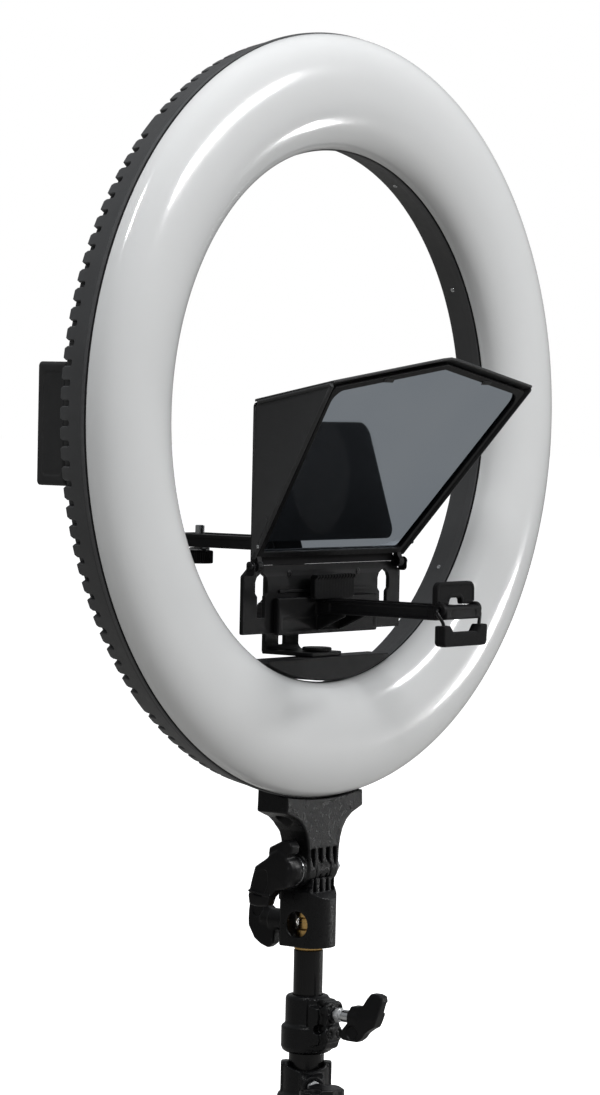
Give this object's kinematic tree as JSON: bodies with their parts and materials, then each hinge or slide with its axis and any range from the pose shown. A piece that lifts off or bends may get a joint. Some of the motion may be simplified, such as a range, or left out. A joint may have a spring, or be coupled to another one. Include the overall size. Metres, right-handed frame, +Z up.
{
  "type": "teleprompter",
  "caption": "Ring light on a telescopic stand with a phone teleprompter, camera rail and swinging phone clamp held in its opening.",
  "frame": {"origin": "centre of the flat bottom of the stand tube's end plug, on the stand axis", "axes": "+Z up along the stand axis, -Y towards the front (the light and mirror side), +X to the right seen from the front"},
  "size_m": [0.48, 0.2248, 0.8],
  "materials": {
    "diffuser_white": "glossy opal plastic",
    "housing_charcoal": "fine-grained moulded charcoal plastic",
    "black_metal": "black powder coat",
    "black_plastic": "black moulded nylon, fine grain",
    "hood_black": "matt black sheet",
    "tube_black": "satin black paint",
    "brass": "turned brass",
    "bright_steel": "bright plated steel",
    "mirror_glass": "partly silvered glass",
    "grip_rubber": "soft black rubber",
    "board_white": "white lacquered board",
    "board_green": "green lacquered board"
  },
  "bodies": {
    "stand_lower": {"lower_tube": "tube_black", "collar_2": "black_plastic", "tube_end_plug": "grip_rubber"},
    "wing_2": {"wing_knob_2": "black_plastic"},
    "stand_middle": {"middle_tube": "tube_black", "collar_1": "black_plastic"},
    "wing_1": {"wing_knob_1": "black_plastic"},
    "stand_top": {"brass_spigot": "brass", "top_tube": "tube_black", "top_tube_stop_bush": "black_plastic"},
    "socket": {"socket_body": "black_plastic"},
    "socket_clamp": {"socket_knob": "black_plastic"},
    "ring": {"ring_rear_housing": "housing_charcoal", "ring_diffuser": "diffuser_white", "led_board": "board_white", "inner_shelf": "black_plastic", "control_box_shell": "black_plastic", "control_panel": "black_plastic", "driver_board": "board_green", "dc_jack": "black_plastic", "head_yoke": "black_plastic", "yoke_bolt_left": "bright_steel", "yoke_bolt_right": "bright_steel", "tilt_washer": "bright_steel", "angle_bracket": "black_metal", "shelf_nut": "bright_steel"},
    "tilt_lock": {"tilt_bolt": "bright_steel", "tilt_lever": "black_plastic"},
    "dimmer": {"dimmer_knob": "black_plastic"},
    "colour": {"colour_temp_knob": "black_plastic"},
    "rocker": {"power_rocker": "black_plastic"},
    "shelf_screw": {"shelf_thumbscrew": "black_plastic"},
    "prompter": {"rail_carrier": "black_metal", "camera_rail": "black_metal", "prompter_base_plate": "black_metal", "lens_panel": "hood_black", "lens_adapter_ring": "black_metal", "hood_left": "hood_black", "hood_right": "hood_black", "hood_roof": "hood_black", "hinge_ear_left": "black_metal", "hinge_ear_right": "black_metal", "phone_arm": "black_metal", "rear_jaw": "grip_rubber", "jaw_spring": "bright_steel"},
    "height_clamp": {"height_knob": "black_plastic"},
    "screw_carriage": {"screw_washer": "bright_steel"},
    "camera_screw": {"camera_thumbscrew": "black_plastic"},
    "mirror": {"mirror_frame": "black_plastic", "beam_splitter_glass": "mirror_glass", "glass_clip_left": "black_plastic", "glass_clip_right": "black_plastic", "hinge_pin_left": "bright_steel", "hinge_pin_right": "bright_steel"},
    "jaw": {"jaw_pad": "grip_rubber", "jaw_slide": "black_plastic"},
    "bail": {"bail_wire": "black_metal", "bail_grip": "grip_rubber"}
  },
  "joints": [
    {"name": "stage2_slide", "type": "slide", "parent": "stand_lower", "child": "stand_middle", "axis": [0, 0, 1], "range_m": [-0.005, 0.08]},
    {"name": "wing_2_turn", "type": "hinge", "parent": "stand_lower", "child": "wing_2", "pos_m": [0, 0, 0.1376], "axis": [-0.6293, -0.7771, 0], "range_deg": [0, 270]},
    {"name": "stage1_slide", "type": "slide", "parent": "stand_middle", "child": "stand_top", "axis": [0, 0, 1], "range_m": [-0.025, 0.08]},
    {"name": "wing_1_turn", "type": "hinge", "parent": "stand_middle", "child": "wing_1", "pos_m": [0, 0, 0.1833], "axis": [0, -1, 0], "range_deg": [0, 270]},
    {"name": "head_pan", "type": "hinge", "parent": "stand_top", "child": "socket", "pos_m": [0, 0, 0.24], "axis": [0, 0, 1], "continuous": true},
    {"name": "socket_knob_turn", "type": "hinge", "parent": "socket", "child": "socket_clamp", "pos_m": [0, 0.0153, 0.2393], "axis": [0, 1, 0], "range_deg": [0, 270]},
    {"name": "ring_tilt", "type": "hinge", "parent": "socket", "child": "ring", "pos_m": [0, 0, 0.2745], "axis": [1, 0, 0], "range_deg": [-45, 45]},
    {"name": "tilt_lever_turn", "type": "hinge", "parent": "socket", "child": "tilt_lock", "pos_m": [0, 0, 0.2745], "axis": [1, 0, 0], "range_deg": [-30, 90]},
    {"name": "dimmer_turn", "type": "hinge", "parent": "ring", "child": "dimmer", "pos_m": [-0.198, 0.0365, 0.574], "axis": [0, 1, 0], "range_deg": [-140, 140]},
    {"name": "colour_temp_turn", "type": "hinge", "parent": "ring", "child": "colour", "pos_m": [-0.198, 0.0365, 0.55], "axis": [0, 1, 0], "range_deg": [-140, 140]},
    {"name": "power_rocker_tip", "type": "hinge", "parent": "ring", "child": "rocker", "pos_m": [-0.198, 0.0345, 0.529], "axis": [1, 0, 0], "range_deg": [-6, 6]},
    {"name": "shelf_screw_turn", "type": "hinge", "parent": "ring", "child": "shelf_screw", "pos_m": [0, -0.0017, 0.41], "axis": [0, 0, 1], "range_deg": [0, 270]},
    {"name": "prompter_height", "type": "slide", "parent": "ring", "child": "prompter", "axis": [0, 0, 1], "range_m": [-0.008, 0.018]},
    {"name": "height_knob_turn", "type": "hinge", "parent": "prompter", "child": "height_clamp", "pos_m": [0, 0.0308, 0.434], "axis": [0, 1, 0], "range_deg": [0, 270]},
    {"name": "camera_screw_slide", "type": "slide", "parent": "prompter", "child": "screw_carriage", "axis": [0, 1, 0], "range_m": [-0.05, 0.003]},
    {"name": "camera_screw_turn", "type": "hinge", "parent": "screw_carriage", "child": "camera_screw", "pos_m": [0, 0.0948, 0.476], "axis": [0, 0, 1], "range_deg": [0, 270]},
    {"name": "mirror_fold", "type": "hinge", "parent": "prompter", "child": "mirror", "pos_m": [0, -0.0098, 0.4677], "axis": [1, 0, 0], "range_deg": [0, 50]},
    {"name": "jaw_slide_out", "type": "slide", "parent": "prompter", "child": "jaw", "axis": [0, -1, 0], "range_m": [-0.001, 0.02], "stiffness_N_per_m": 150},
    {"name": "bail_swing", "type": "hinge", "parent": "jaw", "child": "bail", "pos_m": [0, -0.1092, 0.4438], "axis": [1, 0, 0], "range_deg": [-100, 10]}
  ]
}
